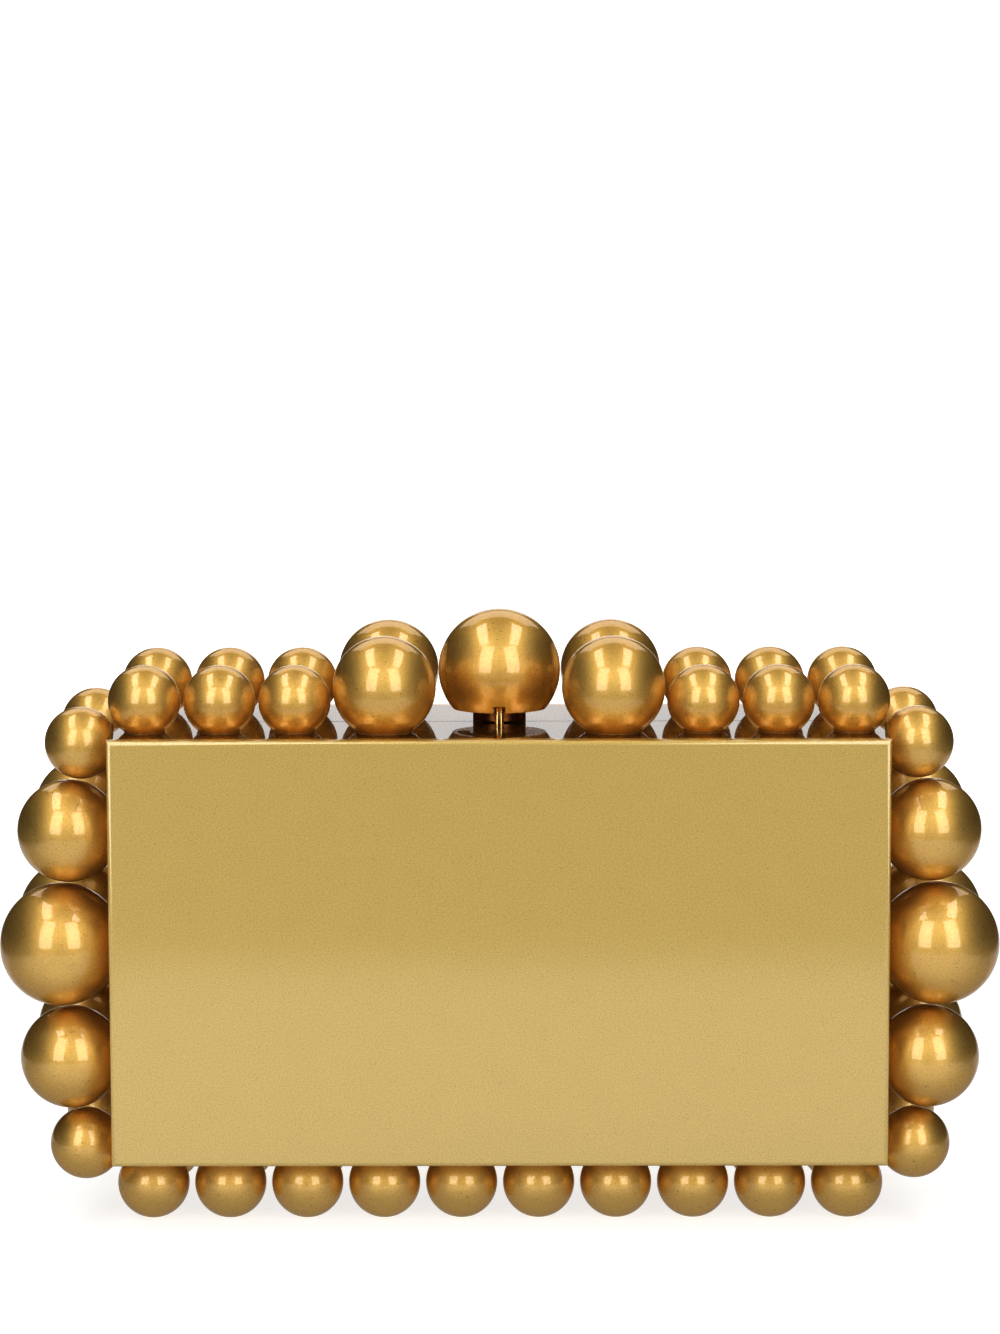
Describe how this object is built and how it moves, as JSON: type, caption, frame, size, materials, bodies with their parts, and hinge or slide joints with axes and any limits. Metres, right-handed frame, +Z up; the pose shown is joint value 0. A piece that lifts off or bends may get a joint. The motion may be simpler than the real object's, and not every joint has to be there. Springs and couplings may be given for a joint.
{
  "type": "evening bag",
  "caption": "Hard box clutch in two halves that hinge at the bottom, with beads cemented around the rim and a large bead on top that turns to lock it.",
  "frame": {"origin": "middle of the bounding box at the floor, under the seam between the halves", "axes": "+X along the bag to its right-hand end seen from the front, +Y towards the rear half, +Z up"},
  "size_m": [0.1946, 0.056, 0.1181],
  "materials": {
    "satin_gold": "fine-grained satin metallic gold under lacquer",
    "clear_coated_gold": "gold under a clear high-gloss coat",
    "bead_gold": "vacuum-plated gold with fine speckle, glossy",
    "suede_lining": "fine faux suede over board",
    "polished_gold": "polished, gold plated",
    "dark_gold": "polished, deep gold plated",
    "steel": "bright steel"
  },
  "bodies": {
    "rear_half": {"rear_panel": "satin_gold", "rear_top_wall": "clear_coated_gold", "rear_bottom_wall": "clear_coated_gold", "rear_left_wall": "clear_coated_gold", "rear_right_wall": "clear_coated_gold", "rear_lining_pad": "suede_lining", "rear_lining_border": "suede_lining", "rear_hinge_leaf": "dark_gold", "rear_hinge_screws": "steel", "rear_bottom_beads": "bead_gold", "rear_top_beads_left": "bead_gold", "rear_top_beads_right": "bead_gold", "rear_top_medium_bead_left": "bead_gold", "rear_top_medium_bead_right": "bead_gold", "rear_left_corner_bead": "bead_gold", "rear_left_upper_bead": "bead_gold", "rear_left_middle_bead": "bead_gold", "rear_left_lower_bead": "bead_gold", "rear_left_foot_bead": "bead_gold", "rear_right_corner_bead": "bead_gold", "rear_right_upper_bead": "bead_gold", "rear_right_middle_bead": "bead_gold", "rear_right_lower_bead": "bead_gold", "rear_right_foot_bead": "bead_gold", "hinge_pin": "steel", "clasp_collar": "dark_gold", "clasp_backing_plate": "dark_gold"},
    "front_half": {"front_panel": "satin_gold", "front_top_wall": "clear_coated_gold", "front_bottom_wall": "clear_coated_gold", "front_left_wall": "clear_coated_gold", "front_right_wall": "clear_coated_gold", "front_lining_pad": "suede_lining", "front_lining_border": "suede_lining", "front_hinge_leaf": "dark_gold", "front_hinge_screws": "steel", "front_bottom_beads": "bead_gold", "front_top_beads_left": "bead_gold", "front_top_beads_right": "bead_gold", "front_top_medium_bead_left": "bead_gold", "front_top_medium_bead_right": "bead_gold", "front_left_corner_bead": "bead_gold", "front_left_upper_bead": "bead_gold", "front_left_middle_bead": "bead_gold", "front_left_lower_bead": "bead_gold", "front_left_foot_bead": "bead_gold", "front_right_corner_bead": "bead_gold", "front_right_upper_bead": "bead_gold", "front_right_middle_bead": "bead_gold", "front_right_lower_bead": "bead_gold", "front_right_foot_bead": "bead_gold", "clasp_stud": "polished_gold", "stud_nut": "polished_gold"},
    "closure": {"closure_bead": "bead_gold", "closure_insert": "polished_gold", "closure_screw": "steel", "spring_washer": "steel"}
  },
  "joints": [
    {"name": "case_hinge", "type": "hinge", "parent": "rear_half", "child": "front_half", "pos_m": [0, 0, 0.01122], "axis": [1, 0, 0], "range_deg": [0, 80]},
    {"name": "closure_turn", "type": "hinge", "parent": "rear_half", "child": "closure", "pos_m": [0, 0.0025, 0.1061], "axis": [0, 0, 1], "range_deg": [0, 90]}
  ]
}
